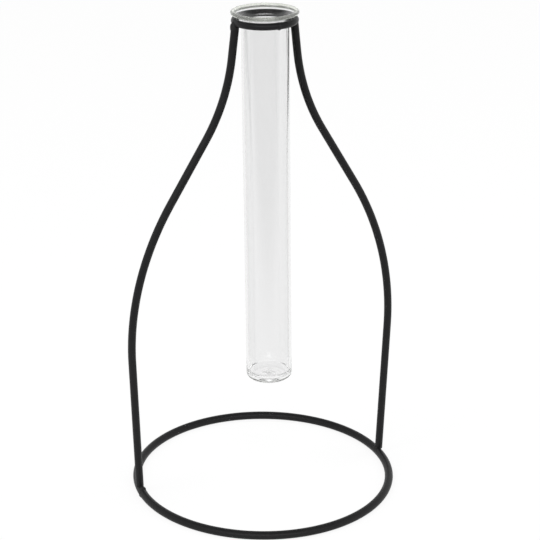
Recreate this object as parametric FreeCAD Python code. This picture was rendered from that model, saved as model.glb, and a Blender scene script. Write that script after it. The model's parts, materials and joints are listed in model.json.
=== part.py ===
# Test tube vase: a glass tube with a flared lip, which hangs in a stand of welded wire.
# Millimetres. The origin is on the table, under the middle of the base ring, and Z is up.
# The two legs stand in the XZ plane, but for the left one's foot.

import FreeCAD, Part
import math
import os

from FreeCAD import Placement, Rotation, Vector

# The wire that the stand is bent from, steel rod with its coat of powder
wire_diameter = 4.3             # of the legs
base_wire_diameter = 4.6        # of the base ring
top_wire_diameter = 3.6         # of the top ring
standing_flat_depth = 0.1       # of the coat, flattened along the line that the base ring stands on

# The glass tube
tube_diameter = 25.0
tube_wall = 1.2
tube_hang = 200.1               # from the middle of the top ring down to the tube's lowest face
tube_heel_radius = 3.0          # outer rounding between wall and bottom
tube_floor_thickness = 2.4
tube_floor_corner_radius = 3.8  # inner rounding between wall and floor
dimple_radius = 3.5             # hollow in the middle of the underside
dimple_depth = 0.5
pip_radius = 1.7                # drop of glass in the middle of the floor
pip_height = 1.0

# The flared lip
lip_reach = 5.17                # from the tube's outer wall to the edge of the lip
lip_thickness = 2.0             # of the fire-polished edge
flare_radius = 3.0              # of the bend from wall to flare, on its outer face
flare_slope = 37.0              # degrees from level, of the flare's straight part
seat_clearance = 0.3            # between the flare and the ring that it hangs in

# The two rings
tube_to_ring_clearance = 1.35   # between the tube's wall and the top ring
top_ring_height = 262.2         # of the wire's centre over the table
base_ring_radius = 71.1         # to the wire's centre
hang_lean = 0.9                 # degrees that the top ring and its tube are out of plumb
hang_heading = -22.0            # degrees about Z, towards which the tube's foot swings

# The two legs, each a wire with a wide bend at the shoulder and one at the neck
left_leg_heading = 180.0        # degrees about Z, from the right leg, which stands over +X
left_foot_swing = -5.6          # degrees about Z, from the left leg's shoulder to its foot
right_foot_overhang = 1.1       # of the leg's axis outside the base ring's centre
left_foot_overhang = 0.1
shoulder_overhang = 5.9         # of the shoulder bend's corner outside the base ring's centre
neck_step = 4.65                # outwards, from the top to the corner of the neck bend
leg_top_overhang = 0.5          # of the leg's axis outside the top ring's centre
shoulder_height_share = 0.489   # of the top ring's height
neck_height_share = 0.843       # of the top ring's height
shoulder_bend_share = 0.436     # of the run between the two corners that the bend takes up
neck_bend_share = 0.572         # of the run over the neck corner that the bend takes up

# The welds
weld_sink = 0.9                 # how far a leg's end is fused into the wire of a ring
foot_weld_radius = 1.8          # of the bead at each foot
left_foot_weld_swing = 2.6      # degrees about Z, from the left foot to its bead, which lies beside it
foot_weld_inset_share = 0.2     # of the base wire's radius, from the base ring's centre inwards
foot_weld_height_share = 0.63   # of the base wire's radius, over the base ring's centre
top_weld_radius = 2.0           # of the bead at the top of each leg
top_weld_length = 6.2
top_weld_overlap = 1.9          # of that length, past the leg's end
top_weld_rise = 0.5             # over the side of the leg
left_top_weld_heading = 180.0   # degrees about Z, the side of the leg that the bead lies on
right_top_weld_heading = 45.0
seam_bead_length = 1.6          # along the wire of a ring, where its two ends are joined
seam_bead_rise = 0.2            # over the wire, at the bead's middle
seam_bead_edge = 0.15           # over the wire, at the bead's two ends
seam_bead_sag = 0.12            # of the bead's middle under the wire's
top_seam_heading = -85.0        # degrees about Z
base_seam_swing = 5.6           # degrees about Z, from the left foot to the seam in front of it

# Sizes that follow
wire_radius = wire_diameter / 2
base_wire_radius = base_wire_diameter / 2
top_wire_radius = top_wire_diameter / 2
tube_radius = tube_diameter / 2
bore_radius = tube_radius - tube_wall
top_ring_radius = tube_radius + tube_to_ring_clearance + top_wire_radius
base_ring_height = base_wire_radius - standing_flat_depth
left_foot_heading = left_leg_heading + left_foot_swing
base_seam_heading = left_foot_heading + base_seam_swing

origin = Vector(0, 0, 0)
up = Vector(0, 0, 1)


def line(start, end):
    return Part.LineSegment(start, end).toShape()


def arc(start, middle, end):
    return Part.Arc(start, middle, end).toShape()


def around(centre, radius, degrees):
    """A point of a circle in the XZ plane, by its angle from +X towards +Z."""
    angle = math.radians(degrees)
    return centre + Vector(radius * math.cos(angle), 0, radius * math.sin(angle))


def rounding(centre, radius, start_degrees, end_degrees):
    """An arc in the XZ plane between two angles."""
    middle_degrees = (start_degrees + end_degrees) / 2
    spots = [around(centre, radius, degrees) for degrees in (start_degrees, middle_degrees, end_degrees)]
    return arc(*spots)


def dome(radius, rise, height):
    """The edge, a point between and the top of a shallow dome over the axis."""
    sphere_radius = (radius ** 2 + rise ** 2) / (2 * rise)
    centre = Vector(0, 0, height + rise - sphere_radius)
    edge_degrees = math.degrees(math.acos(radius / sphere_radius))
    between = around(centre, sphere_radius, (90 + edge_degrees) / 2)
    return Vector(radius, 0, height), between, Vector(0, 0, height + rise)


def revolved(edges):
    """A solid of revolution about Z from a closed outline in the XZ plane."""
    return Part.Face(Part.Wire(edges)).revolve(origin, up, 360)


def level(degrees):
    """A level direction, by its heading about Z."""
    angle = math.radians(degrees)
    return Vector(math.cos(angle), math.sin(angle), 0)


def carried(shape, point, direction):
    """A copy of a shape that was made along Z, carried to a point and turned along a direction."""
    copy = shape.copy()
    copy.Placement = Placement(point, Rotation(up, direction)).multiply(copy.Placement)
    return copy


def hang_place():
    """Where the top ring's middle is, and how the ring and the tube in it lean."""
    return Placement(Vector(0, 0, top_ring_height), Rotation(level(hang_heading).cross(up), hang_lean))


def seam_bead(rod_radius):
    """The bead that joins a ring's two ends, made round a wire that runs up from the origin."""
    edge_radius = rod_radius + seam_bead_edge
    bottom = Vector(edge_radius, 0, 0)
    crown = Vector(rod_radius + seam_bead_rise, 0, seam_bead_length / 2)
    top = Vector(edge_radius, 0, seam_bead_length)
    end = Vector(0, 0, seam_bead_length)
    return revolved([line(origin, bottom), arc(bottom, crown, top), line(top, end), line(end, origin)])


def spindle(length, radius):
    """A bead of weld that runs up from the origin and tapers at both ends."""
    end = Vector(0, 0, length)
    return revolved([arc(origin, Vector(radius, 0, length / 2), end), line(end, origin)])


def ring(radius, rod_radius, seam_heading):
    """A ring of wire about Z and the bead of weld that joins its two ends."""
    seam = carried(seam_bead(rod_radius), Vector(radius, -seam_bead_length / 2, -seam_bead_sag), Vector(0, 1, 0))
    wire = Part.makeTorus(radius, rod_radius).cut(seam)
    for piece in (wire, seam):
        piece.rotate(origin, up, seam_heading)
    return wire, seam


def base_ring():
    """The base ring and its seam, both flat where they stand on the table."""
    reach = base_ring_radius + base_wire_diameter
    table = Part.makeBox(2 * reach, 2 * reach, base_wire_diameter, Vector(-reach, -reach, -base_wire_diameter))
    pieces = []
    for piece in ring(base_ring_radius, base_wire_radius, base_seam_heading):
        piece.translate(Vector(0, 0, base_ring_height))
        pieces.append(piece.cut(table))
    return pieces


def top_ring():
    """The top ring and its seam, out of level by the lean of the tube that hangs in it."""
    pieces = []
    for piece in ring(top_ring_radius, top_wire_radius, top_seam_heading):
        piece.Placement = hang_place().multiply(piece.Placement)
        pieces.append(piece)
    return pieces


def leg_corners(heading, foot_heading, foot_overhang):
    """Foot, shoulder corner, neck corner and top of a leg."""
    outwards = level(heading)
    seat = outwards * (top_ring_radius + leg_top_overhang) + up * (weld_sink - top_wire_radius)
    top = hang_place().multVec(seat)
    inwards = Vector(-top.x, -top.y, 0).normalize()
    neck = Vector(top.x, top.y, top_ring_height * neck_height_share) - inwards * neck_step
    foot_height = base_ring_height + base_wire_radius - weld_sink
    foot = level(foot_heading) * (base_ring_radius + foot_overhang) + up * foot_height
    shoulder_height = top_ring_height * shoulder_height_share
    shoulder = outwards * (base_ring_radius + shoulder_overhang) + up * shoulder_height
    return foot, shoulder, neck, top


def bend(before, corner, after, take):
    """The arc that rounds a corner of the wire's path, taking up a length of the run on each side."""
    back = (before - corner).normalize()
    ahead = (after - corner).normalize()
    half_inside = back.getAngle(ahead) / 2
    radius = take * math.tan(half_inside)
    nearest = corner + (back + ahead).normalize() * (radius / math.sin(half_inside) - radius)
    print("bend radius", round(radius, 1), "mm, turn", round(180 - 2 * math.degrees(half_inside), 1), "degrees")
    start = corner + back * take
    end = corner + ahead * take
    return start, arc(start, nearest, end), end


def leg_wire(foot, shoulder, neck, top):
    """A leg as one length of bent wire, cut square at both ends."""
    shoulder_take = shoulder_bend_share * (neck - shoulder).Length
    neck_take = neck_bend_share * (top - neck).Length
    shoulder_start, shoulder_arc, shoulder_end = bend(foot, shoulder, neck, shoulder_take)
    neck_start, neck_arc, neck_end = bend(shoulder, neck, top, neck_take)
    path = Part.Wire([
        line(foot, shoulder_start),
        shoulder_arc,
        line(shoulder_end, neck_start),
        neck_arc,
        line(neck_end, top),
    ])
    section = Part.Wire(Part.makeCircle(wire_radius, foot, (shoulder - foot).normalize()))
    wire = path.makePipeShell([section], True, False)
    plain_volume = math.pi * wire_radius ** 2 * path.Length
    print("leg length", round(path.Length, 1), "mm, volume over section times length",
          round(wire.Volume / plain_volume, 5))
    return wire


def foot_bead(heading):
    """The bead at a foot, before the wires are cut out of it."""
    reach = base_ring_radius - foot_weld_inset_share * base_wire_radius
    height = base_ring_height + foot_weld_height_share * base_wire_radius
    bead = Part.makeSphere(foot_weld_radius)
    bead.translate(level(heading) * reach + up * height)
    return bead


def top_bead(top, neck, heading):
    """The bead along one side of a leg's top, before the wires are cut out of it."""
    along = (neck - top).normalize()
    sideways = level(heading) * (wire_radius + top_weld_rise - top_weld_radius)
    start = top - along * top_weld_overlap + sideways
    return carried(spindle(top_weld_length, top_weld_radius), start, along)


def leg(corners, foot_weld_heading, top_weld_heading, base_pieces, top_pieces):
    """One leg, its foot weld and its top weld, each face to face with what it joins."""
    foot, shoulder, neck, top = corners
    wire = leg_wire(foot, shoulder, neck, top)
    foot_weld = foot_bead(foot_weld_heading).cut([wire] + base_pieces)
    top_weld = top_bead(top, neck, top_weld_heading).cut([wire] + top_pieces)
    return wire.cut(base_pieces + top_pieces), foot_weld, top_weld


def both_legs(base_pieces, top_pieces):
    """The pieces of the right leg and of the left leg."""
    right = leg_corners(0, 0, right_foot_overhang)
    left = leg_corners(left_leg_heading, left_foot_heading, left_foot_overhang)
    left_weld_heading = left_foot_heading + left_foot_weld_swing
    return {
        "right": leg(right, 0, right_top_weld_heading, base_pieces, top_pieces),
        "left": leg(left, left_weld_heading, left_top_weld_heading, base_pieces, top_pieces),
    }


def slope(degrees):
    """The direction up a slope in the XZ plane, and the one square to it, up and to the left."""
    angle = math.radians(degrees)
    return Vector(math.cos(angle), 0, math.sin(angle)), Vector(-math.sin(angle), 0, math.cos(angle))


def flare_start():
    """Height over the top ring's middle at which the flare's bend begins, so that it clears the wire."""
    along, square = slope(flare_slope)
    aside = top_ring_radius - tube_radius - flare_radius
    return (top_wire_radius + seat_clearance - flare_radius + aside * square.x) / square.z


def flare_lines():
    """The centre of the flare's bend, the middle of the lip's edge, and what leads from one to the other."""
    along, square = slope(flare_slope)
    centre = Vector(tube_radius + flare_radius, 0, flare_start())
    middle = centre + square * (flare_radius + tube_wall / 2)
    edge_reach = tube_radius + lip_reach - lip_thickness / 2
    run = along * ((edge_reach - middle.x) / along.x)
    return centre, middle + run, run


def glass_tube():
    """The tube of glass with its flare and fire-polished edge, hanging in the top ring."""
    low = -tube_hang
    floor = low + tube_floor_thickness
    bend_centre, edge_middle, run = flare_lines()
    start = bend_centre.z
    inner_flare_radius = flare_radius + tube_wall
    bend_degrees = 90 + flare_slope
    outer_bend_end = around(bend_centre, flare_radius, bend_degrees)
    inner_bend_end = around(bend_centre, inner_flare_radius, bend_degrees)
    heel_centre = Vector(tube_radius - tube_heel_radius, 0, low + tube_heel_radius)
    corner_centre = Vector(bore_radius - tube_floor_corner_radius, 0, floor + tube_floor_corner_radius)
    dimple_edge, dimple_between, dimple_top = dome(dimple_radius, dimple_depth, low)
    pip_edge, pip_between, pip_top = dome(pip_radius, pip_height, floor)
    outline = [
        arc(dimple_top, dimple_between, dimple_edge),
        line(dimple_edge, Vector(heel_centre.x, 0, low)),
        rounding(heel_centre, tube_heel_radius, -90, 0),
        line(Vector(tube_radius, 0, heel_centre.z), Vector(tube_radius, 0, start)),
        rounding(bend_centre, flare_radius, 180, bend_degrees),
        line(outer_bend_end, outer_bend_end + run),
        line(outer_bend_end + run, inner_bend_end + run),
        line(inner_bend_end + run, inner_bend_end),
        rounding(bend_centre, inner_flare_radius, bend_degrees, 180),
        line(Vector(bore_radius, 0, start), Vector(bore_radius, 0, corner_centre.z)),
        rounding(corner_centre, tube_floor_corner_radius, 0, -90),
        line(Vector(corner_centre.x, 0, floor), pip_edge),
        arc(pip_edge, pip_between, pip_top),
        line(pip_top, dimple_top),
    ]
    edge = Part.makeTorus(edge_middle.x, lip_thickness / 2, Vector(0, 0, edge_middle.z))
    tube = revolved(outline).fuse(edge).removeSplitter()
    tube.Placement = hang_place().multiply(tube.Placement)
    return tube


def vase():
    """Every piece of the vase, by the name of its node."""
    base_wire, base_seam = base_ring()
    top_wire, top_seam = top_ring()
    pieces = {
        "glass_tube": glass_tube(),
        "top_ring": top_wire,
        "top_ring_seam_weld": top_seam,
        "base_ring": base_wire,
        "base_ring_seam_weld": base_seam,
    }
    legs = both_legs([base_wire, base_seam], [top_wire, top_seam])
    for name, (wire, foot_weld, top_weld) in legs.items():
        pieces["leg_" + name] = wire
        pieces["base_weld_" + name] = foot_weld
        pieces["top_weld_" + name] = top_weld
    return pieces


os.makedirs("parts", exist_ok=True)
for node, shape in vase().items():
    if len(shape.Solids) == 1:
        shape = shape.Solids[0]
    shape.exportStep(os.path.join("parts", node + ".step"))
    box = shape.optimalBoundingBox()
    print(node, "solids", len(shape.Solids), "valid", shape.isValid(), "volume", round(shape.Volume, 2),
          "z", round(box.ZMin, 3), "to", round(box.ZMax, 3))
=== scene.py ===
# %% [markdown]
# # A test tube vase: a glass tube that hangs in a stand of bent wire
# The real thing is made of few pieces: a base ring, two bent legs and a small top ring, all of
# round steel wire with a black powder coat, six welds, and a loose test tube of clear glass
# whose flared lip keeps it from falling through the top ring.
# With so few pieces the looks rest on the curves of the wire, the skin of the coat, the small
# lumps of the welds and the way that glass bends light, so each of these has a chapter here.
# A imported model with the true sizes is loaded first, and every piece is built in its place,
# with its object at the origin, so that patterns on its own coordinates stay where they are.

# %% Load the frame
import json
import math

import bmesh
import bpy
from mathutils import Matrix, Vector, noise


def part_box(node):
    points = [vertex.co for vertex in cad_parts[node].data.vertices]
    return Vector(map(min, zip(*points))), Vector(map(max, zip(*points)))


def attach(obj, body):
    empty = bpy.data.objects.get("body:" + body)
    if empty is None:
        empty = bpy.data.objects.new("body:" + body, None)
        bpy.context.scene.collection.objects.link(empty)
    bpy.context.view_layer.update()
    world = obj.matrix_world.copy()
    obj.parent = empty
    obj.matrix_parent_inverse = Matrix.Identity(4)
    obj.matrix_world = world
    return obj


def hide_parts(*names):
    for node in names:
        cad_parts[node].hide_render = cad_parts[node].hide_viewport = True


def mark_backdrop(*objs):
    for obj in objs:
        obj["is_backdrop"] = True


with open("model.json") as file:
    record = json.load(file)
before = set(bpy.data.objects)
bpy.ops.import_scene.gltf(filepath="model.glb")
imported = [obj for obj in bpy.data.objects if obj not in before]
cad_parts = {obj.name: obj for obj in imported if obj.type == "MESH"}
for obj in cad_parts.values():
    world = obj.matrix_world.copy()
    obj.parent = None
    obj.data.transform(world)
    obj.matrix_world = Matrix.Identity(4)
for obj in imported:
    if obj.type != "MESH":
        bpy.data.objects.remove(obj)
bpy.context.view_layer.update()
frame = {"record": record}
MM = 0.001

# %% [markdown]
# ## Sizes
# The sizes are those of the real wire and glass, in metres, and the frame gives what it can:
# the bore and the lean of the tube stand in its record, and the base ring's radius is read
# from its box. They could all be read from boxes, but a box says nothing of a bend or a slope.

# %% Sizes of the stand
WIRE_RADIUS = 2.15 * MM                 # of the legs
BASE_WIRE_RADIUS = 2.3 * MM
TOP_WIRE_RADIUS = 1.8 * MM
BASE_RING_HEIGHT = 2.2 * MM             # of the wire's centre, its coat flattened by a tenth
TOP_RING_HEIGHT = 262.2 * MM
TOP_RING_RADIUS = 15.65 * MM            # to the wire's centre
LEG_HEADINGS = {"right": 0.0, "left": 180.0}               # degrees about Z
FOOT_HEADINGS = {"right": 0.0, "left": 174.4}
FOOT_OVERHANGS = {"right": 1.1 * MM, "left": 0.1 * MM}     # of the leg's axis past the ring's centre
LEG_TOP_OVERHANG = 0.5 * MM
SHOULDER_OVERHANG = 5.9 * MM
NECK_STEP = 4.65 * MM                   # outwards, from the top to the corner of the neck bend
SHOULDER_HEIGHT_SHARE = 0.489           # of the top ring's height
NECK_HEIGHT_SHARE = 0.843
SHOULDER_BEND_SHARE = 0.436             # of the run between two corners that a bend takes up
NECK_BEND_SHARE = 0.572
WELD_SINK = 0.9 * MM                    # how far a leg's end is fused into the wire of a ring
TOP_SEAM_HEADING = -85.0                # degrees about Z
BASE_SEAM_HEADING = 180.0

ring_low, ring_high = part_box("base_ring")
BASE_RING_RADIUS = (ring_high.y - ring_low.y) / 2 - BASE_WIRE_RADIUS
mounts = {mount["name"]: mount for mount in frame["record"]["mounts"]}
tube_axis = Vector(mounts["stem_bore"]["axis"]).normalized()
hang_turn = Vector((0, 0, 1)).rotation_difference(tube_axis)
hang = Matrix.Translation((0, 0, TOP_RING_HEIGHT)) @ hang_turn.to_matrix().to_4x4()
print("base ring radius", round(BASE_RING_RADIUS / MM, 2), "mm, lean of the tube",
      round(math.degrees(hang_turn.angle), 2), "degrees")

# %% [markdown]
# ## Sizes of the tube
# The tube is stock glass of 25 mm, closed at its lower end and opened out to a flare at its top.
# Heights are measured along its own axis from the middle of the top ring, where it is carried,
# because the tube leans a little and slides along that axis.

# %% Sizes of the glass tube
TUBE_RADIUS = 12.5 * MM
BORE_RADIUS = mounts["stem_bore"]["dims"]["r_mm"] * MM
WALL = TUBE_RADIUS - BORE_RADIUS
TUBE_HANG = 200.1 * MM                  # down to the tube's lowest face
HEEL_RADIUS = 3.0 * MM                  # outer rounding between wall and bottom
FLOOR_THICKNESS = 2.4 * MM
FLOOR_CORNER_RADIUS = 3.8 * MM          # inner rounding between wall and floor
DIMPLE_RADIUS = 3.5 * MM                # hollow in the middle of the underside
DIMPLE_DEPTH = 0.5 * MM
PIP_RADIUS = 1.7 * MM                   # drop of glass in the middle of the floor
PIP_HEIGHT = 1.0 * MM
LIP_REACH = 5.17 * MM                   # from the outer wall to the edge of the lip
LIP_THICKNESS = 2.0 * MM                # of the fire-polished edge
FLARE_RADIUS = 3.0 * MM                 # of the bend from wall to flare, on its outer face
FLARE_SLOPE = 37.0                      # degrees from level, of the flare's straight part
SEAT_CLEARANCE = 0.3 * MM
tube_low, tube_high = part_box("glass_tube")
print("tube from", round(tube_low.z / MM, 2), "to", round(tube_high.z / MM, 2), "mm")

# %% [markdown]
# ## Camera
# The picture was taken with a long lens from about a metre, looking down on the base ring and
# from 22 degrees to one side of the square view on the two legs. A camera could be aimed at a
# target, but then nothing sets its roll. Here its place, its turns and its lens are all given,
# as they were found by matching both rings, both legs and the tube with the photograph.

# %% Camera
CAMERA_LENS = 114.59                    # millimetres
CAMERA_SENSOR = 36.0                    # millimetres wide
CAMERA_HEADING = -22.1                  # degrees about Z
CAMERA_BACK = 0.8635                    # metres, level, from the stand's axis
CAMERA_ASIDE = 0.0033
CAMERA_HEIGHT = 0.4662
CAMERA_PITCH = 68.428                   # degrees from looking straight down
CAMERA_ROLL = 0.309


def linked(name, data):
    """A new object in the scene, which shows a camera, a light or a mesh."""
    made = bpy.data.objects.new(name, data)
    bpy.context.scene.collection.objects.link(made)
    return made


camera = linked("camera", bpy.data.cameras.new("camera"))
camera.data.lens = CAMERA_LENS
camera.data.sensor_width = CAMERA_SENSOR
place = Vector((CAMERA_ASIDE, -CAMERA_BACK, CAMERA_HEIGHT))
heading = Matrix.Rotation(math.radians(CAMERA_HEADING), 4, "Z")
pitch = Matrix.Rotation(math.radians(CAMERA_PITCH), 4, "X")
roll = Matrix.Rotation(math.radians(CAMERA_ROLL), 4, "Z")
camera.matrix_world = heading @ Matrix.Translation(place) @ pitch @ roll
bpy.context.scene.camera = camera
print("camera at", [round(v, 3) for v in camera.matrix_world.translation])

# %% [markdown]
# ## A helper for node trees
# Materials, the world and Geometry Nodes are all trees of nodes. Written out, each node takes
# a line to add it and one more for every input. One short function does both: it adds a node,
# sets its options and fills its inputs, where a socket is linked and a value is set.

# %% Node helpers
def add(tree, kind, fills=None, **options):
    """Adds a node. fills gives its inputs by name or number, options are its own settings."""
    made = tree.nodes.new(kind)
    for option, value in options.items():
        setattr(made, option, value)
    for place, value in (fills or {}).items():
        if isinstance(value, bpy.types.NodeSocket):
            tree.links.new(value, made.inputs[place])
        else:
            made.inputs[place].default_value = value
    return made


def math_node(tree, operation, *values):
    """The result of a Math node."""
    return add(tree, "ShaderNodeMath", dict(enumerate(values)), operation=operation).outputs[0]


def mix(tree, share, first, second, **options):
    """The result of a Mix node."""
    fills = {"Factor": share, "A": first, "B": second}
    return add(tree, "ShaderNodeMix", fills, **options).outputs["Result"]


SOCKET_KINDS = {float: "Float", int: "Int"}


def named_group(name, kind, inputs, outputs):
    """An empty group of nodes, and the ends to link to. An input has a value, or only a kind."""
    group = bpy.data.node_groups.new(name, kind)
    for label, socket_kind in outputs.items():
        group.interface.new_socket(label, in_out="OUTPUT", socket_type=f"NodeSocket{socket_kind}")
    for label, value in inputs.items():
        socket_kind = SOCKET_KINDS.get(type(value), value)
        socket = group.interface.new_socket(label, in_out="INPUT", socket_type=f"NodeSocket{socket_kind}")
        if socket_kind != value:
            socket.default_value = value
    return group, add(group, "NodeGroupInput").outputs, add(group, "NodeGroupOutput")


def ramp(tree, value, begin, end, low=0.0, high=1.0, kind="LINEAR"):
    """A value that runs from low to high while another runs from begin to end."""
    return add(tree, "ShaderNodeMapRange", {
        "Value": value, "From Min": begin, "From Max": end, "To Min": low, "To Max": high,
    }, interpolation_type=kind).outputs["Result"]


print("helpers: add, math_node, mix, named_group, ramp")

# %% [markdown]
# ## The paper under the vase
# The vase stood on a sweep of white paper. A real sheet could be lit until it is white, but so
# much light would turn the black wire grey. So this floor glows at a strength of 1 by itself,
# for the camera, for gloss and through glass, and a small share of it is matt and takes the
# shadow. What gloss mirrors is dim past the front edge of the paper, and that keeps the front
# of the black wire black. Blender counts the light that glass lets through as glossy as well,
# so the tube looks a little smoky where it stands before that part, as it does from behind.

# %% Floor
FLOOR_REACH = 4.0
FLOOR_COLOUR = (0.93, 0.93, 0.93, 1)
WHITE = (1, 1, 1, 1)
FLOOR_SHADOW = 0.12                     # share of the floor's colour that a shadow can darken
PAPER_END = (0.12, 0.5)                 # metres towards the camera, between which the paper ends
DIM_FLOOR = 0.25                        # what a mirror sees of the floor past the paper
TOWARDS_CAMERA = heading.to_3x3() @ Vector((0, -1, 0))     # a fixed direction of the room


def floor_material():
    """White to the camera, and near by to mirrors and glass, with a share that takes shadows."""
    material = bpy.data.materials.new("studio_floor")
    material.use_nodes = True
    tree = material.node_tree
    tree.nodes.clear()
    rays = add(tree, "ShaderNodeLightPath").outputs
    point = add(tree, "ShaderNodeTexCoord").outputs["Object"]
    ahead = add(tree, "ShaderNodeVectorMath", {
        0: point, 1: TOWARDS_CAMERA}, operation="DOT_PRODUCT").outputs["Value"]
    mirrored = ramp(tree, ahead, *PAPER_END, 1.0, DIM_FLOOR, "SMOOTHSTEP")
    strength = mix(tree, rays["Is Glossy Ray"], 1.0, mirrored)
    seen = math_node(tree, "MAXIMUM", rays["Is Camera Ray"], rays["Is Transmission Ray"])
    seen = math_node(tree, "MAXIMUM", seen, rays["Is Glossy Ray"])
    share = math_node(tree, "MULTIPLY", seen, 1 - FLOOR_SHADOW)
    paper = add(tree, "ShaderNodeBsdfDiffuse", {"Color": FLOOR_COLOUR}).outputs[0]
    white = add(tree, "ShaderNodeEmission", {"Color": WHITE, "Strength": strength}).outputs[0]
    mixed = add(tree, "ShaderNodeMixShader", {0: share, 1: paper, 2: white}).outputs[0]
    add(tree, "ShaderNodeOutputMaterial", {"Surface": mixed})
    return material


def make_floor():
    """A level sheet of paper under the vase."""
    corners = [(x * FLOOR_REACH, y * FLOOR_REACH, 0) for x, y in ((-1, -1), (1, -1), (1, 1), (-1, 1))]
    mesh = bpy.data.meshes.new("floor")
    mesh.from_pydata(corners, [], [(0, 1, 2, 3)])
    mesh.materials.append(floor_material())
    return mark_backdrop(linked("floor", mesh))


make_floor()
print("floor", 2 * FLOOR_REACH, "m wide")

# %% [markdown]
# ## The white room
# Round the paper the room is white. It could be a box with lit walls, but a world costs nothing
# to render and has no corners. The camera sees it at a strength of 1. Matt surfaces get a bit
# less, which leaves something for the lamps to do. Glossy rays, so what the wire mirrors and
# what the glass mirrors and lets through, see more of the real room: a lit screen high on the
# side that the photograph was taken from, which draws the light streak on the wire, and a dim
# ceiling, which draws the dark lens inside the lip. In thick glass light goes round many times,
# so it may bounce often.

# %% World
WORLD_LIGHT = 0.84                      # what the world sheds on matt surfaces
MIRRORED_BACK = 1.0                     # what glossy rays see of the far side of the room
MIRRORED_FRONT = 0.9                    # and of the camera's side
FRONT_TURN = (-0.1, 0.75)               # where one turns to the other, as cosines of the angle between
SCREEN_GLOW = 3.4                       # more light, from the lit screen
SCREEN_TURN = (0.5, 0.8)                # its soft edges to the sides, as such cosines
SCREEN_RISE = (0.34, 0.5)               # and its lower edge, as sines of the angle over level
CEILING_SHARE = 0.25                    # of all this light that is left at the ceiling
CEILING_RISE = (0.5, 0.85)              # the ceiling's soft edge, as sines of the angle over level
GLASS_BOUNCES = 32
MIRROR_BOUNCES = 24


def make_world():
    """White all round to the camera, and to glossy rays a screen in front and a dim ceiling."""
    world = bpy.data.worlds.new("white_room")
    world.use_nodes = True
    tree = world.node_tree
    tree.nodes.clear()
    direction = add(tree, "ShaderNodeTexCoord").outputs["Generated"]
    facing = add(tree, "ShaderNodeVectorMath", {
        0: direction, 1: TOWARDS_CAMERA}, operation="DOT_PRODUCT").outputs["Value"]
    upwards = add(tree, "ShaderNodeSeparateXYZ", {0: direction}).outputs["Z"]
    walls = ramp(tree, facing, *FRONT_TURN, MIRRORED_BACK, MIRRORED_FRONT, "SMOOTHSTEP")
    ceiling = ramp(tree, upwards, *CEILING_RISE, 1.0, CEILING_SHARE, "SMOOTHSTEP")
    screen = math_node(
        tree, "MULTIPLY", ramp(tree, facing, *SCREEN_TURN, kind="SMOOTHSTEP"),
        ramp(tree, upwards, *SCREEN_RISE, kind="SMOOTHSTEP"))
    glowing = math_node(tree, "ADD", walls, math_node(tree, "MULTIPLY", screen, SCREEN_GLOW))
    mirrored = math_node(tree, "MULTIPLY", glowing, ceiling)
    rays = add(tree, "ShaderNodeLightPath").outputs
    seen = math_node(tree, "MAXIMUM", rays["Is Camera Ray"], rays["Is Transmission Ray"])
    plain = mix(tree, seen, WORLD_LIGHT, 1.0)
    strength = mix(tree, rays["Is Glossy Ray"], plain, mirrored)
    white = add(tree, "ShaderNodeBackground", {"Color": WHITE, "Strength": strength})
    add(tree, "ShaderNodeOutputWorld", {"Surface": white.outputs[0]})
    bpy.context.scene.world = world


make_world()
bpy.context.scene.view_settings.view_transform = "Standard"
bpy.context.scene.cycles.max_bounces = GLASS_BOUNCES
bpy.context.scene.cycles.glossy_bounces = MIRROR_BOUNCES
bpy.context.scene.cycles.transmission_bounces = GLASS_BOUNCES
print("world", bpy.context.scene.world.name, "with", len(bpy.context.scene.world.node_tree.nodes), "nodes")

# %% [markdown]
# ## Lamps
# Three square softboxes above the vase give the matt part of the coat its shape and throw the
# faint shadows under the ring. Small lamps would make hard shadows, which the photograph hasn't
# got. Gloss and glass don't see them, because glass would show each as a bright window.

# %% Lamps
LAMPS = {                               # heading from the vase, height, width and power in watts
    "left_softbox": (190.0, 1.15, 0.5, 3.4),
    "right_softbox": (-5.0, 1.15, 0.5, 2.4),
    "front_softbox": (-105.0, 1.3, 0.6, 3.0),
}
LAMP_DISTANCE = 0.8
LAMP_AIM = Vector((0, 0, 0.12))


def make_lamp(name, towards, height, width, power):
    """A square softbox that looks at the vase and that gloss and glass don't see."""
    light = bpy.data.lights.new(name, "AREA")
    light.size = width
    light.energy = power
    lamp = linked(name, light)
    lamp.visible_glossy = False
    lamp.visible_transmission = False
    angle = math.radians(towards)
    lamp.location = Vector((math.cos(angle) * LAMP_DISTANCE, math.sin(angle) * LAMP_DISTANCE, height))
    lamp.rotation_mode = "QUATERNION"
    lamp.rotation_quaternion = (LAMP_AIM - lamp.location).to_track_quat("-Z", "Y")


for name, (towards, height, width, power) in LAMPS.items():
    make_lamp(name, towards, height, width, power)
print("lamps:", ", ".join(LAMPS))

# %% [markdown]
# ## The skin of a powder coat
# Powder that melts in an oven never flows quite flat. It keeps a fine orange peel, broader
# swells where it lay thicker, and a few specks of dust that were baked in. A picture of such a
# skin would have to be laid round each bend. Noise on the piece's own coordinates needs no
# unwrapping. The wire and the welds share it, so it is one group of nodes with named inputs,
# which puts out a height for the bump and masks for the colour.

# %% Group: powder skin
SPECK_RADIUS_SHARE = 0.07               # of the spacing of the specks
SPECK_RISE_SHARE = 0.5                  # height of a speck, as a share of the peel's


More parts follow.
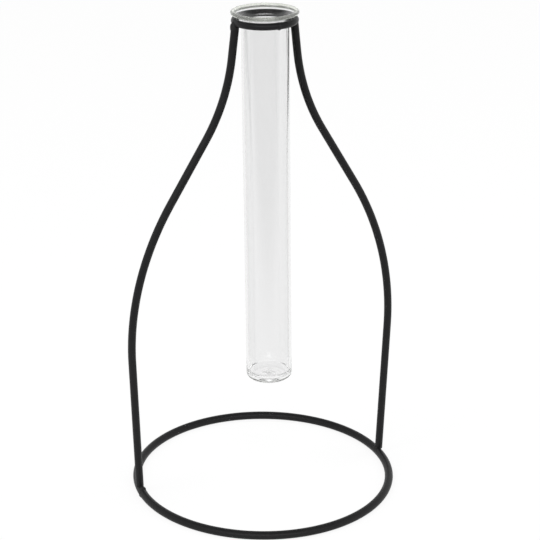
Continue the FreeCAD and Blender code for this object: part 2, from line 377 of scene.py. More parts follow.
def powder_skin():
    """Orange peel, broad swells and specks of dust of a powder coat."""
    group, inputs, out = named_group(
        "powder_skin", "ShaderNodeTree",
        {"Peel Size": 0.5 * MM, "Swell Size": 4.0 * MM, "Swell Share": 0.4,
         "Speck Spacing": 3.0 * MM, "Speck Share": 0.2},
        {"Height": "Float", "Swell": "Float", "Speck": "Float"})
    point = add(group, "ShaderNodeTexCoord").outputs["Object"]

    def scattered(kind, size, **fills):
        scale = math_node(group, "DIVIDE", 1.0, size)
        return add(group, kind, {"Vector": point, "Scale": scale, **fills})

    peel = scattered("ShaderNodeTexNoise", inputs["Peel Size"], Detail=2.0, Roughness=0.5).outputs[0]
    swell = scattered("ShaderNodeTexNoise", inputs["Swell Size"], Detail=3.0, Roughness=0.6).outputs[0]
    cells = scattered("ShaderNodeTexVoronoi", inputs["Speck Spacing"]).outputs
    near = math_node(group, "LESS_THAN", cells["Distance"], SPECK_RADIUS_SHARE)
    chosen = math_node(group, "LESS_THAN", cells["Color"], inputs["Speck Share"])
    speck = math_node(group, "MULTIPLY", near, chosen)
    height = mix(group, inputs["Swell Share"], peel, swell)
    specks = math_node(group, "MULTIPLY", speck, SPECK_RISE_SHARE)
    raised = math_node(group, "ADD", height, specks)
    for label, value in (("Height", raised), ("Swell", swell), ("Speck", speck)):
        group.links.new(value, out.inputs[label])
    return group


POWDER_SKIN = powder_skin()
print("group", POWDER_SKIN.name, "with", len(POWDER_SKIN.nodes), "nodes")

# %% [markdown]
# ## The coats
# The coat is a satin black. A mirror-like black would show the room, and a chalky one would
# look grey all over. Here the colour is nearly even, so the grey along the edges of the wire is
# a reflection of the white room, which a moderate roughness spreads. The welds were coated
# with the rest, over lumps and spatter, so their skin is coarser and duller.

# %% Materials of the stand
DUST_COLOUR = (0.2, 0.2, 0.19, 1)
SWELL_SPREAD = (0.3, 0.7)               # heights of the swells between which the gloss changes
COAT_SPECULAR = 0.14


def principled(name):
    """A new material, its tree and its Principled shader."""
    material = bpy.data.materials.new(name)
    material.use_nodes = True
    return material, material.node_tree, material.node_tree.nodes["Principled BSDF"]


def coat_material(name, dark, light, rough, bump_strength, bump_height, sizes):
    """A black powder coat with its own sizes of peel, swells and specks."""
    material, tree, shader = principled(name)
    skin = add(tree, "ShaderNodeGroup", sizes, node_tree=POWDER_SKIN).outputs
    tone = mix(tree, skin["Swell"], dark, light, data_type="RGBA")
    dusty = mix(tree, skin["Speck"], tone, DUST_COLOUR, data_type="RGBA")
    bumped = add(tree, "ShaderNodeBump", {
        "Height": skin["Height"], "Strength": bump_strength, "Distance": bump_height})
    tree.links.new(dusty, shader.inputs["Base Color"])
    tree.links.new(ramp(tree, skin["Swell"], *SWELL_SPREAD, *rough), shader.inputs["Roughness"])
    tree.links.new(bumped.outputs["Normal"], shader.inputs["Normal"])
    shader.inputs["Specular IOR Level"].default_value = COAT_SPECULAR
    return material


WIRE_COAT = coat_material(
    "satin_black_coat", dark=(0.009, 0.009, 0.0095, 1), light=(0.015, 0.015, 0.0155, 1),
    rough=(0.34, 0.44), bump_strength=0.35, bump_height=0.06 * MM,
    sizes={"Peel Size": 0.55 * MM, "Swell Size": 5.0 * MM, "Swell Share": 0.35,
           "Speck Spacing": 4.0 * MM, "Speck Share": 0.16})
WELD_COAT = coat_material(
    "coat_over_weld", dark=(0.012, 0.012, 0.0125, 1), light=(0.026, 0.026, 0.026, 1),
    rough=(0.42, 0.6), bump_strength=0.6, bump_height=0.1 * MM,
    sizes={"Peel Size": 0.35 * MM, "Swell Size": 1.2 * MM, "Swell Share": 0.55,
           "Speck Spacing": 2.0 * MM, "Speck Share": 0.2})
print("coats:", WIRE_COAT.name, WELD_COAT.name)

# %% [markdown]
# ## The skin of the glass
# Tubing is drawn from the melt and keeps faint lines along its length, and hands leave
# smudges on it. The broadest lines are part of the mesh, further down. The finer ones would
# need a very fine mesh, so here they are noise that is stretched along Z, for the bump, and the
# smudges are noise that only changes the roughness. The wall and the lip's edge share both, in
# a group that also puts out the height above the table.

# %% Group: drawn glass
LINE_ROUGHNESS = 0.45                   # of the noise that makes the lines


def glass_skin():
    """Draw lines along the tube, the smudges of hands, and the height of each spot."""
    group, inputs, out = named_group(
        "glass_skin", "ShaderNodeTree",
        {"Line Spacing": 2.2 * MM, "Line Stretch": 0.02, "Smudge Size": 11.0 * MM},
        {"Lines": "Float", "Smudge": "Float", "Height": "Float"})
    point = add(group, "ShaderNodeTexCoord").outputs["Object"]
    spread = add(group, "ShaderNodeCombineXYZ", {0: 1.0, 1: 1.0, 2: inputs["Line Stretch"]}).outputs[0]
    stretched = add(group, "ShaderNodeMapping", {"Vector": point, "Scale": spread}).outputs[0]
    line_scale = math_node(group, "DIVIDE", 1.0, inputs["Line Spacing"])
    lines = add(group, "ShaderNodeTexNoise", {
        "Vector": stretched, "Scale": line_scale, "Detail": 2.0, "Roughness": LINE_ROUGHNESS}).outputs[0]
    smudge_scale = math_node(group, "DIVIDE", 1.0, inputs["Smudge Size"])
    smudge = add(group, "ShaderNodeTexNoise", {
        "Vector": point, "Scale": smudge_scale, "Detail": 3.0}).outputs[0]
    height = add(group, "ShaderNodeSeparateXYZ", {0: point}).outputs["Z"]
    for label, value in (("Lines", lines), ("Smudge", smudge), ("Height", height)):
        group.links.new(value, out.inputs[label])
    return group


GLASS_SKIN = glass_skin()
print("group", GLASS_SKIN.name, "with", len(GLASS_SKIN.nodes), "nodes")

# %% [markdown]
# ## The glass
# Clear glass is a Principled shader with full transmission on a wall with both its faces. A
# single face would be quicker, but it bends no light, so it shows neither the bright and dark
# lines along the wall nor the lens inside the lip. The shader tints the light at each wall,
# more where a thin wall is seen edge on, since the light runs a long way in it there. Volume
# absorption tints thick glass by its depth. The lip's rounded edge looks bright and a little
# green, since light runs along the wall to it and its round mirrors the room. So it gets a
# second glass, rougher, a little green and a fifth matt and pale, which is painted light in
# place of that brightness.

# %% Materials of the tube
GLASS_IOR = 1.5
GLASS_DEPTH = (0.85, 0.86, 0.84, 1)     # the colour that light keeps along its way in the glass
GLASS_DENSITY = 8.0                     # per metre of that way
THIN_WALL = (tube_low.z + 6 * MM, tube_low.z + 14 * MM)     # heights over which the edge tint sets in
EDGE_FALLOFF = 2.0                      # power of the turn away from the eye
SMUDGE_SPREAD = (0.55, 0.75)            # strengths of a smudge between which the haze sets in
LINE_STRENGTH = 0.15
LINE_HEIGHT = 0.05 * MM


def glass_material(name, tint, edge_tint, weight, haze, sizes):
    """Drawn glass, whose thin wall is darker where it is seen edge on."""
    material, tree, shader = principled(name)
    shader.inputs["Transmission Weight"].default_value = weight
    shader.inputs["Metallic"].default_value = 0.0
    shader.inputs["IOR"].default_value = GLASS_IOR
    skin = add(tree, "ShaderNodeGroup", sizes, node_tree=GLASS_SKIN).outputs
    facing = add(tree, "ShaderNodeLayerWeight", {"Blend": 0.5}).outputs["Facing"]
    edge_on = math_node(
        tree, "MULTIPLY", math_node(tree, "POWER", facing, EDGE_FALLOFF),
        ramp(tree, skin["Height"], *THIN_WALL))
    colour = mix(tree, edge_on, tint, edge_tint, data_type="RGBA")
    bumped = add(tree, "ShaderNodeBump", {
        "Height": skin["Lines"], "Strength": LINE_STRENGTH, "Distance": LINE_HEIGHT})
    tree.links.new(colour, shader.inputs["Base Color"])
    tree.links.new(ramp(tree, skin["Smudge"], *SMUDGE_SPREAD, *haze), shader.inputs["Roughness"])
    tree.links.new(bumped.outputs["Normal"], shader.inputs["Normal"])
    depth = add(tree, "ShaderNodeVolumeAbsorption", {"Color": GLASS_DEPTH, "Density": GLASS_DENSITY})
    tree.links.new(depth.outputs[0], tree.nodes["Material Output"].inputs["Volume"])
    return material


GLASS = glass_material(
    "drawn_glass", tint=(0.922, 0.922, 0.923, 1), edge_tint=(0.74, 0.74, 0.741, 1),
    weight=1.0, haze=(0.0, 0.03), sizes={})
# Painted light: a fifth of the lip's glass is matt and pale, which makes its edge look lit.
LIP_GLASS = glass_material(
    "lip_glass_with_painted_light", tint=(0.88, 0.9, 0.84, 1), edge_tint=(0.88, 0.9, 0.84, 1),
    weight=0.8, haze=(0.22, 0.34),
    sizes={"Line Spacing": 1.5 * MM, "Line Stretch": 1.0, "Smudge Size": 3.0 * MM})
print("glass:", GLASS.name, LIP_GLASS.name)

# %% [markdown]
# ## Growing a mesh from a tree of geometry nodes
# A wire is a rule, a round section carried along a path, and a tube of glass is another, an
# outline turned about an axis. Geometry Nodes hold both rules. A modifier could stay live, but
# the pieces end as plain meshes. So the function here gives a tree its inputs by their labels,
# takes the mesh that comes out, and leaves no modifier behind. Another one counts open edges,
# because glass and welds have to be closed.

# %% Grow and check meshes
MERGE_GAP = 0.0001 * MM


def grown(name, start, tree, values, finish=None):
    """Runs a tree on a start mesh and returns the result as a plain object."""
    holder = linked(name, start)
    modifier = holder.modifiers.new("rule", "NODES")
    modifier.node_group = tree
    for item in tree.interface.items_tree:
        if item.in_out == "INPUT" and item.name in values:
            modifier[item.identifier] = values[item.name]
    if finish:
        finish(holder)
    mesh = bpy.data.meshes.new_from_object(holder.evaluated_get(bpy.context.evaluated_depsgraph_get()))
    holder.modifiers.clear()
    holder.data = mesh
    mesh.name = name
    return holder


def checked(piece):
    """Merges doubles, turns a shape that is inside out, and prints what the piece is made of."""
    cleaned = bmesh.new()
    cleaned.from_mesh(piece.data)
    bmesh.ops.remove_doubles(cleaned, verts=cleaned.verts, dist=MERGE_GAP)
    if cleaned.calc_volume(signed=True) < 0:
        bmesh.ops.reverse_faces(cleaned, faces=cleaned.faces)
    open_edges = sum(1 for edge in cleaned.edges if not edge.is_manifold)
    cleaned.to_mesh(piece.data)
    print(piece.name, "faces", len(cleaned.faces), "open edges", open_edges,
          "volume mm3", round(cleaned.calc_volume() / MM ** 3, 1))
    cleaned.free()
    return piece


def path_mesh(name, points, bend_radii=None):
    """A row of points joined by edges, with the radius of the bend at each."""
    mesh = bpy.data.meshes.new(name)
    mesh.from_pydata(points, [(i, i + 1) for i in range(len(points) - 1)], [])
    radii = mesh.attributes.new("bend_radius", "FLOAT", "POINT")
    radii.data.foreach_set("value", bend_radii or [0.0] * len(points))
    return mesh


print("helpers: grown, checked, path_mesh")

# %% [markdown]
# ## The rule of a coated wire
# The stand is steel wire, bent over formers and coated after it was welded. A curve with a
# round bevel could stand for it, but the bends would have to be drawn by hand. Here the path
# comes in as a few corners, each with its bend radius as an attribute. The tree rounds the
# corners, spaces the points evenly, sweeps a circle along them and closes the ends. Then it
# pulls the skin in by a few hundredths of a millimetre of smooth noise, since a coat is never
# equally thick, and holds everything above the table.

# %% Tree: coated wire
TABLE = (-1.0, -1.0, 0.0)               # lowest place of a skin: the table, and far off to the sides


def coated_wire():
    """A round wire along a path with rounded corners, under an uneven coat."""
    tree, inputs, out = named_group(
        "coated_wire", "GeometryNodeTree",
        {"Path": "Geometry", "Radius": 2.0 * MM, "Sides": 32, "Spacing": 1.5 * MM,
         "Bend Steps": 48, "Thinning": 0.05 * MM, "Thinning Size": 12.0 * MM, "Seed": 1.0,
         "Coat": "Material"},
        {"Wire": "Geometry"})
    tree.is_modifier = True
    radius = add(tree, "GeometryNodeInputNamedAttribute", {"Name": "bend_radius"}).outputs["Attribute"]
    path = add(tree, "GeometryNodeMeshToCurve", {"Mesh": inputs["Path"]}).outputs[0]
    bent = add(tree, "GeometryNodeFilletCurve", {
        "Curve": path, "Count": inputs["Bend Steps"], "Radius": radius}, mode="POLY").outputs[0]
    even = add(tree, "GeometryNodeResampleCurve", {
        "Curve": bent, "Length": inputs["Spacing"]}, mode="LENGTH").outputs[0]
    section = add(tree, "GeometryNodeCurvePrimitiveCircle", {
        "Resolution": inputs["Sides"], "Radius": inputs["Radius"]}).outputs[0]
    swept = add(tree, "GeometryNodeCurveToMesh", {
        "Curve": even, "Profile Curve": section, "Fill Caps": True}).outputs[0]
    scale = math_node(tree, "DIVIDE", 1.0, inputs["Thinning Size"])
    cloud = add(tree, "ShaderNodeTexNoise", {
        "W": inputs["Seed"], "Scale": scale, "Detail": 2.0}, noise_dimensions="4D").outputs[0]
    pull = math_node(tree, "MULTIPLY", math_node(tree, "MULTIPLY", cloud, inputs["Thinning"]), -1.0)
    normal = add(tree, "GeometryNodeInputNormal").outputs[0]
    offset = add(tree, "ShaderNodeVectorMath", {0: normal, "Scale": pull}, operation="SCALE").outputs[0]
    uneven = add(tree, "GeometryNodeSetPosition", {"Geometry": swept, "Offset": offset}).outputs[0]
    spot = add(tree, "GeometryNodeInputPosition").outputs[0]
    above = add(tree, "ShaderNodeVectorMath", {0: spot, 1: TABLE}, operation="MAXIMUM").outputs[0]
    standing = add(tree, "GeometryNodeSetPosition", {"Geometry": uneven, "Position": above}).outputs[0]
    smooth = add(tree, "GeometryNodeSetShadeSmooth", {"Geometry": standing}).outputs[0]
    real = add(tree, "GeometryNodeRealizeInstances", {"Geometry": smooth}).outputs[0]
    coated = add(tree, "GeometryNodeSetMaterial", {"Geometry": real, "Material": inputs["Coat"]}).outputs[0]
    tree.links.new(coated, out.inputs["Wire"])
    return tree


COATED_WIRE = coated_wire()
print("tree", COATED_WIRE.name, "with", len(COATED_WIRE.nodes), "nodes")

# %% [markdown]
# ## The ends of a wire
# Wire is sawn to length, and a coat draws back from a sharp edge as it melts. A bevel that only
# takes sharp edges rounds the two ends and leaves the length of the wire alone.

# %% A piece of wire
END_ROUNDING = 0.35 * MM                # of the coat over a sawn end
END_STEPS = 3
SHARP_EDGE = math.radians(50)


def round_ends(holder):
    """Rounds the sawn ends of a wire, where the coat has drawn back from the edge."""
    bevel = holder.modifiers.new("sawn_ends", "BEVEL")
    bevel.width = END_ROUNDING
    bevel.segments = END_STEPS
    bevel.angle_limit = SHARP_EDGE


def wire(name, points, bend_radii=None, seed=1.0, **changes):
    """A piece of coated wire along a path."""
    values = {"Radius": WIRE_RADIUS, "Seed": seed, "Coat": WIRE_COAT, **changes}
    return checked(grown(name, path_mesh(name, points, bend_radii), COATED_WIRE, values, round_ends))


print("helper: wire")

# %% [markdown]
# ## The two rings
# Each ring is one length of wire that was rolled round until its ends met, and welded there. A
# torus would have no seam. So the path is a circle with a small gap, which the seam weld hides.
# The small ring takes the tube's lean, because the tube hangs square in it.

# %% Rings
SEAM_GAP = 0.35 * MM
RING_STEPS = 240
TOP_RING_SPACING = 0.8 * MM             # of the sections along the small ring


def on_ring(radius, angles, place):
    """Points of a circle at some angles, put in its place."""
    return [place @ Vector((radius * math.cos(a), radius * math.sin(a), 0)) for a in angles]


def ring_path(radius, seam_heading, place):
    """The points of a ring that starts and ends at its seam."""
    start = math.radians(seam_heading) + SEAM_GAP / 2 / radius
    turn = 2 * math.pi - SEAM_GAP / radius
    return on_ring(radius, [start + turn * step / RING_STEPS for step in range(RING_STEPS + 1)], place)


level = Matrix.Translation((0, 0, BASE_RING_HEIGHT))
base_path = ring_path(BASE_RING_RADIUS, BASE_SEAM_HEADING, level)
base_ring = wire("base_ring_wire", base_path, seed=3.0, Radius=BASE_WIRE_RADIUS)
top_path = ring_path(TOP_RING_RADIUS, TOP_SEAM_HEADING, hang)
top_ring = wire("top_ring_wire", top_path, seed=5.0, Radius=TOP_WIRE_RADIUS, Spacing=TOP_RING_SPACING)

# %% [markdown]
# ## The two legs
# A leg runs up from its foot, a little outwards, to a wide bend at the shoulder, slopes in to
# the neck, and ends upright under the top ring. A free curve through many points could follow
# it too, but a real wire has straight runs and round bends, so four corners and two bend radii
# say it all. A bend that takes up a length t on each side of its corner has the radius t times
# the tangent of half the angle inside the corner.

# %% Legs
def outwards(degrees):
    """A level direction, by its heading about Z."""
    angle = math.radians(degrees)
    return Vector((math.cos(angle), math.sin(angle), 0))


def leg_corners(name):
    """Foot, shoulder corner, neck corner and top of a leg."""
    out, up = outwards(LEG_HEADINGS[name]), Vector((0, 0, 1))
    top = hang @ (out * (TOP_RING_RADIUS + LEG_TOP_OVERHANG) + up * (WELD_SINK - TOP_WIRE_RADIUS))
    neck = Vector((top.x, top.y, 0))
    neck += neck.normalized() * NECK_STEP + up * TOP_RING_HEIGHT * NECK_HEIGHT_SHARE
    shoulder = out * (BASE_RING_RADIUS + SHOULDER_OVERHANG) + up * TOP_RING_HEIGHT * SHOULDER_HEIGHT_SHARE
    foot = outwards(FOOT_HEADINGS[name]) * (BASE_RING_RADIUS + FOOT_OVERHANGS[name])
    return foot + up * (BASE_RING_HEIGHT + BASE_WIRE_RADIUS - WELD_SINK), shoulder, neck, top


def bend_radius(before, corner, after, take):
    """The radius of the bend that takes up a given length on each side of a corner."""
    inside = (before - corner).angle(after - corner)
    return take * math.tan(inside / 2)


def leg_bends(foot, shoulder, neck, top):
    """The radius at each corner of a leg's path: none at the ends."""
    shoulder_take = SHOULDER_BEND_SHARE * (neck - shoulder).length
    neck_take = NECK_BEND_SHARE * (top - neck).length
    at_shoulder = bend_radius(foot, shoulder, neck, shoulder_take)
    return [0.0, at_shoulder, bend_radius(shoulder, neck, top, neck_take), 0.0]


legs = {}
for seed, name in enumerate(LEG_HEADINGS):
    corners = leg_corners(name)
    bends = leg_bends(*corners)
    print("leg", name, "bend radii in mm", [round(b / MM, 1) for b in bends])
    legs[name] = wire(f"leg_{name}_wire", corners, bends, seed=7.0 + seed)

# %% [markdown]
# ## The welds
# A weld is a small lump of metal that has run onto both wires, so no edge shows between the
# lump and the wire. A ball pushed into the wires would show such an edge. So a short stub of
# each wire, a hair thinner than the wire itself, is joined with a noisy drop at the weld's
# place, and the lot is remeshed and smoothed as one skin. The stubs stay hidden inside the
# wires, and only the drop with its run-out shows.

# %% Stubs, drops and the remeshed skin
STUB_THINNER = 0.07 * MM
STUB_LENGTH = 5.0 * MM
STUB_STEPS = 8
STUB_SPACING = 0.5 * MM                 # of the sections along a stub
DROP_DETAIL = 4                         # times that a ball's faces are divided
WELD_VOXEL = 0.14 * MM
WELD_SMOOTHING = 6
LUMP_SIZE = 1.1 * MM
LUMP_HEIGHT = 0.16 * MM


def drop(target, centre, along, length, radius, seed):
    """Adds a noisy drop of weld metal to a mesh under construction."""
    ball = bmesh.ops.create_icosphere(target, subdivisions=DROP_DETAIL, radius=1.0)
    turn = Vector((0, 0, 1)).rotation_difference(along).to_matrix()
    for vertex in ball["verts"]:
        spot = Vector((vertex.co.x * radius, vertex.co.y * radius, vertex.co.z * length / 2))
        lump = noise.noise(spot / LUMP_SIZE + Vector((seed, 0, 0))) * LUMP_HEIGHT
        vertex.co = centre + turn @ (spot + vertex.co * lump)


def stub(target, points, radius):
    """Adds a short length of wire, a hair thinner than the real one."""
    short = grown("stub", path_mesh("stub", points), COATED_WIRE, {
        "Radius": radius - STUB_THINNER, "Spacing": STUB_SPACING, "Thinning": 0.0, "Coat": WELD_COAT})
    target.from_mesh(short.data)
    bpy.data.objects.remove(short)


def weld(name, drops, stubs):
    """One skin over drops of weld metal and the stubs of the wires that they join."""
    raw = bmesh.new()
    for points, radius in stubs:
        stub(raw, points, radius)
    for centre, along, length, radius, seed in drops:
        drop(raw, centre, along, length, radius, seed)
    mesh = bpy.data.meshes.new(name)
    raw.to_mesh(mesh)
    raw.free()
    holder = linked(name, mesh)
    skin = holder.modifiers.new("one_skin", "REMESH")
    skin.mode = "VOXEL"
    skin.voxel_size = WELD_VOXEL
    skin.use_smooth_shade = True
    run = holder.modifiers.new("run_out", "SMOOTH")
    run.iterations = WELD_SMOOTHING
    holder.data = bpy.data.meshes.new_from_object(
        holder.evaluated_get(bpy.context.evaluated_depsgraph_get()))
    holder.modifiers.clear()
    holder.data.materials.clear()
    holder.data.materials.append(WELD_COAT)
    for vertex in holder.data.vertices:
        vertex.co.z = max(vertex.co.z, 0.0)
    return checked(holder)


def ring_stub(radius, heading_degrees, place, reach=STUB_LENGTH):
    """The points of a short stretch of ring on both sides of a heading."""
    middle = math.radians(heading_degrees)
    steps = range(-STUB_STEPS, STUB_STEPS + 1)
    return on_ring(radius, [middle + reach * step / STUB_STEPS / radius for step in steps], place)


def leg_stub(end, after, reach):
    """The points of the last stretch of a leg, from just inside its end."""
    along = (after - end).normalized()
    return [end + along * (END_ROUNDING + reach * step / STUB_STEPS) for step in range(STUB_STEPS + 1)]


print("helpers: drop, stub, weld, ring_stub, leg_stub")

# %% [markdown]
# ## Welds at the feet and at the tops of the legs
# At each foot the metal ran in on the inner side, between the leg's end and the ring. At the
# top it lies along the outside of the left leg, and along the back of the right one. Every weld
# could be the same lump, but a welder's hand never repeats, so each has its own seed, and the
# two at the feet have their own sizes as well.

# %% Four leg welds
FOOT_DROPS = {                          # heading in degrees, length along the ring and radius of the drop
    "right": (0.0, 3.4 * MM, 1.75 * MM),
    "left": (178.2, 4.2 * MM, 1.6 * MM),        # beside the foot, not under it
}
FOOT_DROP_INSET = 0.46 * MM             # from the base ring's centre line inwards
FOOT_DROP_RISE = 1.45 * MM              # over the base ring's centre line
TOP_DROP_RADIUS = 1.95 * MM
TOP_DROP_LENGTH = 6.2 * MM
TOP_DROP_OVERLAP = 1.9 * MM             # past the leg's end
TOP_DROP_RISE = 0.5 * MM                # over the side of the leg
TOP_DROP_HEADINGS = {"right": 45.0, "left": 180.0}

welds = {}
for seed, name in enumerate(LEG_HEADINGS, 1):
    foot, shoulder, neck, top = leg_corners(name)
    drop_heading, length, radius = FOOT_DROPS[name]
    centre = outwards(drop_heading) * (BASE_RING_RADIUS - FOOT_DROP_INSET)
    centre.z = BASE_RING_HEIGHT + FOOT_DROP_RISE
    foot_drop = (centre, outwards(drop_heading + 90), length, radius, 2.0 * seed)
    base_stub = ring_stub(BASE_RING_RADIUS, FOOT_HEADINGS[name], level)
    foot_stub = leg_stub(foot, shoulder, STUB_LENGTH)
    welds[f"base_weld_{name}"] = weld(
        f"foot_weld_{name}", [foot_drop], [(base_stub, BASE_WIRE_RADIUS), (foot_stub, WIRE_RADIUS)])
    along = (neck - top).normalized()
    sideways = outwards(TOP_DROP_HEADINGS[name]) * (WIRE_RADIUS + TOP_DROP_RISE - TOP_DROP_RADIUS)
    centre = top + along * (TOP_DROP_LENGTH / 2 - TOP_DROP_OVERLAP) + sideways
    top_drop = (centre, along, TOP_DROP_LENGTH, TOP_DROP_RADIUS, 5.0 * seed)
    neck_stubs = [ring_stub(TOP_RING_RADIUS, LEG_HEADINGS[name], hang), leg_stub(top, neck, STUB_LENGTH)]
    welds[f"top_weld_{name}"] = weld(
        f"neck_weld_{name}", [top_drop], list(zip(neck_stubs, (TOP_WIRE_RADIUS, WIRE_RADIUS))))

# %% [markdown]
# ## Seams of the rings
# Where a ring's ends meet, the weld shows as a low collar round the wire. It is made in the
# same way as the others, from a stub and a short drop that is a little thicker than the wire
# and hangs a hair low, where the metal sagged before it set.

# %% Two seam welds
SEAM_LENGTH = 2.4 * MM                  # of the drop along the ring
SEAM_STUB_LENGTH = 2.5 * MM             # to each side
SEAM_RISE = 0.2 * MM
SEAM_SAG = 0.12 * MM


def seam_weld(name, radius, rod_radius, heading_degrees, place, seed):
    """The collar of weld over the two ends of a ring."""
    centre = place @ (outwards(heading_degrees) * radius - Vector((0, 0, SEAM_SAG)))
    along = place.to_3x3() @ outwards(heading_degrees + 90)
    collar = (centre, along, SEAM_LENGTH, rod_radius + SEAM_RISE, seed)
    rod = ring_stub(radius, heading_degrees, place, SEAM_STUB_LENGTH)
    return weld(name, [collar], [(rod, rod_radius)])


welds["base_ring_seam_weld"] = seam_weld(
    "base_ring_seam", BASE_RING_RADIUS, BASE_WIRE_RADIUS, BASE_SEAM_HEADING, level, 11.0)
welds["top_ring_seam_weld"] = seam_weld(
    "top_ring_seam", TOP_RING_RADIUS, TOP_WIRE_RADIUS, TOP_SEAM_HEADING, hang, 13.0)

# %% [markdown]
# ## The outline of the glass
# The tube is a solid of revolution, so its shape is one outline from the axis out and back:
# the dimple under the bottom, the heel, the outer wall, the flare, the round edge of the lip,
# then the inner flare, the bore, the rounded floor and the drop of glass in its middle. A
# single wall with a Solidify modifier would be shorter, but the lip and the floor are thicker
# than the wall, and glass shows that. Each round stretch is an arc, and the straight wall has
# points enough for its draw lines.

# %% Outline
ARC_STEP = 7.0                          # degrees between two points of an arc
WALL_STEP = 5.0 * MM
FLARE_STEP = 0.8 * MM
LEAST_STEPS = 4                         # of a short arc


def arc(centre, radius, start, end):
    """Points of an arc in the XZ plane between two angles in degrees."""
    steps = max(LEAST_STEPS, math.ceil(abs(end - start) / ARC_STEP))
    angles = [math.radians(start + (end - start) * step / steps) for step in range(steps + 1)]
    return [centre + Vector((radius * math.cos(a), 0, radius * math.sin(a))) for a in angles]


def straight(start, end, spacing=WALL_STEP):
    """Points between two ends, both left out."""
    steps = max(1, round((end - start).length / spacing))
    return [start.lerp(end, step / steps) for step in range(1, steps)]


def dome(radius, rise, height):
    """Points of a shallow dome over the axis, from its edge to its top."""
    sphere_radius = (radius ** 2 + rise ** 2) / (2 * rise)
    edge = math.degrees(math.acos(radius / sphere_radius))
    return arc(Vector((0, 0, height + rise - sphere_radius)), sphere_radius, edge, 90)


def slope(degrees):
    """The direction up a slope in the XZ plane, and the one square to it, to the left."""
    angle = math.radians(degrees)
    return Vector((math.cos(angle), 0, math.sin(angle))), Vector((-math.sin(angle), 0, math.cos(angle)))


def flare_start():
    """Height of the flare's bend, at which its straight part clears the top ring by the seat's gap."""
    square = slope(FLARE_SLOPE)[1]
    aside = TOP_RING_RADIUS - TUBE_RADIUS - FLARE_RADIUS
    return (TOP_WIRE_RADIUS + SEAT_CLEARANCE - FLARE_RADIUS + aside * square.x) / square.z


def lip_outline(start):
    """The flare's outer face, the round edge of the lip and the flare's inner face."""
    up_slope, square = slope(FLARE_SLOPE)
    bend = Vector((TUBE_RADIUS + FLARE_RADIUS, 0, start))
    edge_radius = LIP_THICKNESS / 2
    middle = bend + square * (FLARE_RADIUS + WALL / 2)
    edge = middle + up_slope * ((TUBE_RADIUS + LIP_REACH - edge_radius - middle.x) / up_slope.x)
    opening = math.degrees(math.asin(WALL / LIP_THICKNESS))
    bead = arc(edge, edge_radius, FLARE_SLOPE + 180 + opening, FLARE_SLOPE + 540 - opening)
    outer = arc(bend, FLARE_RADIUS, 180, FLARE_SLOPE + 90)
    inner = arc(bend, FLARE_RADIUS + WALL, FLARE_SLOPE + 90, 180)
    outer += straight(outer[-1], bead[0], FLARE_STEP)
    return outer + bead + straight(bead[-1], inner[0], FLARE_STEP) + inner


def tube_outline():
    """The whole outline, from the top of the dimple to the top of the drop on the floor."""
    low = -TUBE_HANG
    floor = low + FLOOR_THICKNESS
    start = flare_start()
    heel = Vector((TUBE_RADIUS - HEEL_RADIUS, 0, low + HEEL_RADIUS))
    corner = Vector((BORE_RADIUS - FLOOR_CORNER_RADIUS, 0, floor + FLOOR_CORNER_RADIUS))
    points = dome(DIMPLE_RADIUS, DIMPLE_DEPTH, low)[::-1] + arc(heel, HEEL_RADIUS, -90, 0)
    points += straight(points[-1], Vector((TUBE_RADIUS, 0, start)))
    points += lip_outline(start)
    points += straight(points[-1], Vector((BORE_RADIUS, 0, corner.z)))
    points += arc(corner, FLOOR_CORNER_RADIUS, 0, -90)
    return points + dome(PIP_RADIUS, PIP_HEIGHT, floor)


outline = tube_outline()
print("outline of", len(outline), "points, lip radius", round(max(p.x for p in outline) / MM, 2), "mm")

# %% [markdown]
# ## The rule of turned glass
# A Screw modifier could turn the outline, but it leaves the wall perfectly even. Here a grid
# has one row for each step of the turn and one column for each point of the outline. The tree
# looks up the outline's point by its column and swings it round by its row, and then merges
# the last row with the first and each end of the outline into one point. A little noise on the
# radius, long along the axis, makes the draw lines real in the wall.

# %% Tree: turned glass
HALF_INDEX = 0.5                        # keeps the row's division clear of rounding errors
CLOSING_GAP = 0.001 * MM


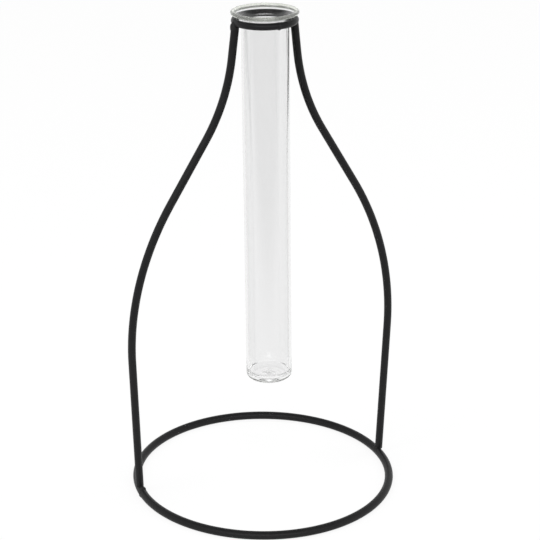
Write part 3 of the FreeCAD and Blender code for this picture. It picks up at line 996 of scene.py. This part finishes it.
def turned_glass():
    """An outline in the XZ plane, turned about Z, with faint draw lines along it."""
    tree, inputs, out = named_group(
        "turned_glass", "GeometryNodeTree",
        {"Outline": "Geometry", "Turn Steps": 160, "Line Depth": 0.02 * MM,
         "Line Spacing": 4.0 * MM, "Line Length": 250.0 * MM, "Seed": 1.0, "Glass": "Material"},
        {"Tube": "Geometry"})
    tree.is_modifier = True
    count = add(tree, "GeometryNodeAttributeDomainSize", {
        0: inputs["Outline"]}, component="MESH").outputs["Point Count"]
    rows = math_node(tree, "ADD", inputs["Turn Steps"], 1.0)
    grid = add(tree, "GeometryNodeMeshGrid", {"Vertices X": rows, "Vertices Y": count}).outputs["Mesh"]
    index = add(tree, "GeometryNodeInputIndex").outputs[0]
    between = math_node(tree, "ADD", index, HALF_INDEX)
    row = math_node(tree, "FLOOR", math_node(tree, "DIVIDE", between, count))
    column = math_node(tree, "SUBTRACT", index, math_node(tree, "MULTIPLY", row, count))
    spot = add(tree, "GeometryNodeInputPosition").outputs[0]
    found = add(tree, "GeometryNodeSampleIndex", {
        "Geometry": inputs["Outline"], "Value": spot, "Index": column}, data_type="FLOAT_VECTOR").outputs[0]
    parts = add(tree, "ShaderNodeSeparateXYZ", {0: found}).outputs
    turn = math_node(tree, "DIVIDE", row, inputs["Turn Steps"])
    angle = math_node(tree, "MULTIPLY", turn, 2 * math.pi)
    cosine, sine = math_node(tree, "COSINE", angle), math_node(tree, "SINE", angle)

    def swung(radius, height):
        x, y = (math_node(tree, "MULTIPLY", radius, side) for side in (cosine, sine))
        return add(tree, "ShaderNodeCombineXYZ", {0: x, 1: y, 2: height}).outputs[0]

    stretch = math_node(tree, "DIVIDE", inputs["Line Spacing"], inputs["Line Length"])
    lines = add(tree, "ShaderNodeTexNoise", {
        "Vector": swung(parts["X"], math_node(tree, "MULTIPLY", parts["Z"], stretch)),
        "W": inputs["Seed"], "Scale": math_node(tree, "DIVIDE", 1.0, inputs["Line Spacing"]),
        "Detail": 1.0}, noise_dimensions="4D").outputs[0]
    both_ways = math_node(tree, "SUBTRACT", lines, 0.5)
    depth = math_node(tree, "MULTIPLY", both_ways, inputs["Line Depth"])
    off_axis = math_node(tree, "MINIMUM", math_node(tree, "DIVIDE", parts["X"], BORE_RADIUS), 1.0)
    radius = math_node(tree, "ADD", parts["X"], math_node(tree, "MULTIPLY", depth, off_axis))
    wall = add(tree, "GeometryNodeSetPosition", {
        "Geometry": grid, "Position": swung(radius, parts["Z"])}).outputs[0]
    closed = add(tree, "GeometryNodeMergeByDistance", {
        "Geometry": wall, "Distance": CLOSING_GAP}).outputs[0]
    smooth = add(tree, "GeometryNodeSetShadeSmooth", {"Geometry": closed}).outputs[0]
    real = add(tree, "GeometryNodeRealizeInstances", {"Geometry": smooth}).outputs[0]
    glazed = add(tree, "GeometryNodeSetMaterial", {
        "Geometry": real, "Material": inputs["Glass"]}).outputs[0]
    tree.links.new(glazed, out.inputs["Tube"])
    return tree


TURNED_GLASS = turned_glass()
print("tree", TURNED_GLASS.name, "with", len(TURNED_GLASS.nodes), "nodes")

# %% [markdown]
# ## The tube
# The outline is turned upright about the Z axis, and only then put in its place, with its
# lean, because the tree and the test for the lip's edge both need the upright tube. The edge's
# glass, with its painted light, could be a piece of its own, but the lip is one glass with the
# wall. So the faces of the edge take it as a second material.

# %% Glass tube
PAINTED_LIGHT_REACH = 2.0 * MM                  # of the glass with painted light, from the lip's edge inwards

painted_light_from = TUBE_RADIUS + LIP_REACH - PAINTED_LIGHT_REACH
tube = grown("test_tube", path_mesh("test_tube", outline), TURNED_GLASS, {"Glass": GLASS, "Seed": 4.0})
tube.data.materials.append(LIP_GLASS)
lip_slot = tube.data.materials.find(LIP_GLASS.name)
for face in tube.data.polygons:
    if face.center.z > 0 and math.hypot(face.center.x, face.center.y) > painted_light_from:
        face.material_index = lip_slot
tube.data.transform(hang)
checked(tube)

# %% [markdown]
# ## What each piece stands for
# Every piece rides on the body that it moves with and hides the plain solid that it replaces.
# The tube is the only piece that moves: it lifts out of the ring along its own axis.

# %% Ride and replace
stand_pieces = {
    "base_ring": base_ring, "top_ring": top_ring,
    "leg_right": legs["right"], "leg_left": legs["left"], **welds,
}
for node_name, piece in stand_pieces.items():
    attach(piece, "stand")
    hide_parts(node_name)
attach(tube, "tube")
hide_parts("glass_tube")
print("pieces:", len(stand_pieces) + 1)
